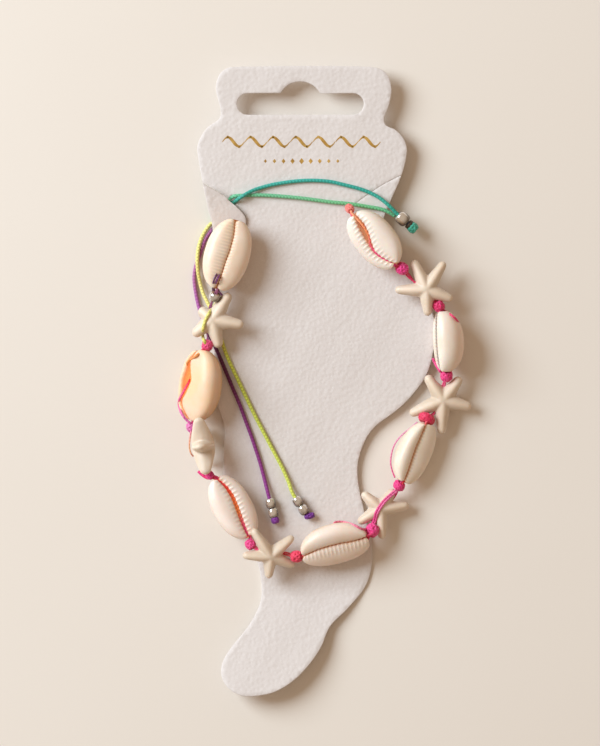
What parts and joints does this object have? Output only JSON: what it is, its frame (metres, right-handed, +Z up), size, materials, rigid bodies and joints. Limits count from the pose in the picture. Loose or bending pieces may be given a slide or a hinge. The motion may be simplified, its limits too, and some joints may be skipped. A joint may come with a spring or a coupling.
{
  "type": "cord anklet on a foot-shaped display card",
  "caption": "Cord anklet of cowrie shells and starfish beads with a sliding knot and beaded tails, threaded on the flat foot-shaped display card, with a hang slot, that holds it.",
  "frame": {"origin": "centre of the bounding box's underside, on the surface that the card lies on, measured without the free tails of the cord", "axes": "+Y from the card's toe end to its hang slot, +X to the right as the card is read, +Z up from the surface, towards the viewer"},
  "size_m": [0.0738, 0.16, 0.0147],
  "materials": {
    "card_stock": null,
    "cowrie_shell": "natural shell, glossy",
    "starfish_stone": "tumbled, satin",
    "silver_bead": "polished",
    "dark_metal": "darkened, satin",
    "cord_teal": "braided waxed cord",
    "cord_green": "braided waxed cord",
    "cord_yellow": "braided waxed cord",
    "cord_purple": "braided waxed cord",
    "cord_plum": "braided waxed cord",
    "cord_orange": "braided waxed cord",
    "cord_lilac": "braided waxed cord",
    "cord_red": "braided waxed cord",
    "cord_coral": "braided waxed cord",
    "cord_pink": "braided waxed cord"
  },
  "bodies": {
    "root": {"card": "card_stock", "slider_knot": "cord_teal", "cowrie_1": "cowrie_shell", "cowrie_2": "cowrie_shell", "cowrie_3": "cowrie_shell", "cowrie_4": "cowrie_shell", "cowrie_5": "cowrie_shell", "cowrie_6": "cowrie_shell", "cowrie_7": "cowrie_shell", "starfish_1": "starfish_stone", "starfish_2": "starfish_stone", "starfish_3": "starfish_stone", "starfish_4": "starfish_stone", "starfish_5": "starfish_stone", "starfish_6": "starfish_stone", "knot_1": "cord_coral", "knot_2": "cord_lilac", "knot_3": "cord_pink", "knot_4": "cord_pink", "knot_5": "cord_coral", "knot_6": "cord_pink", "knot_7": "cord_pink", "knot_8": "cord_pink", "knot_9": "cord_pink", "knot_10": "cord_red", "knot_11": "cord_pink", "knot_12": "cord_coral", "spacer_bead": "silver_bead", "thread_1": "cord_plum", "thread_2": "cord_orange", "thread_3": "cord_lilac", "thread_4": "cord_red", "thread_5": "cord_coral", "thread_6": "cord_pink", "thread_7": "cord_pink", "thread_8": "cord_pink", "thread_9": "cord_coral", "thread_10": "cord_red", "thread_11": "cord_red", "thread_12": "cord_red", "thread_13": "cord_coral", "teal_tail": "cord_teal", "green_tail": "cord_green", "yellow_tail": "cord_yellow", "purple_tail": "cord_purple", "teal_bead": "silver_bead", "teal_ring": "dark_metal", "yellow_bead_1": "silver_bead", "yellow_bead_2": "silver_bead", "purple_bead_1": "silver_bead", "purple_bead_2": "silver_bead", "teal_end_knot": "cord_teal", "yellow_end_knot": "cord_purple", "purple_end_knot": "cord_purple"}
  },
  "joints": []
}
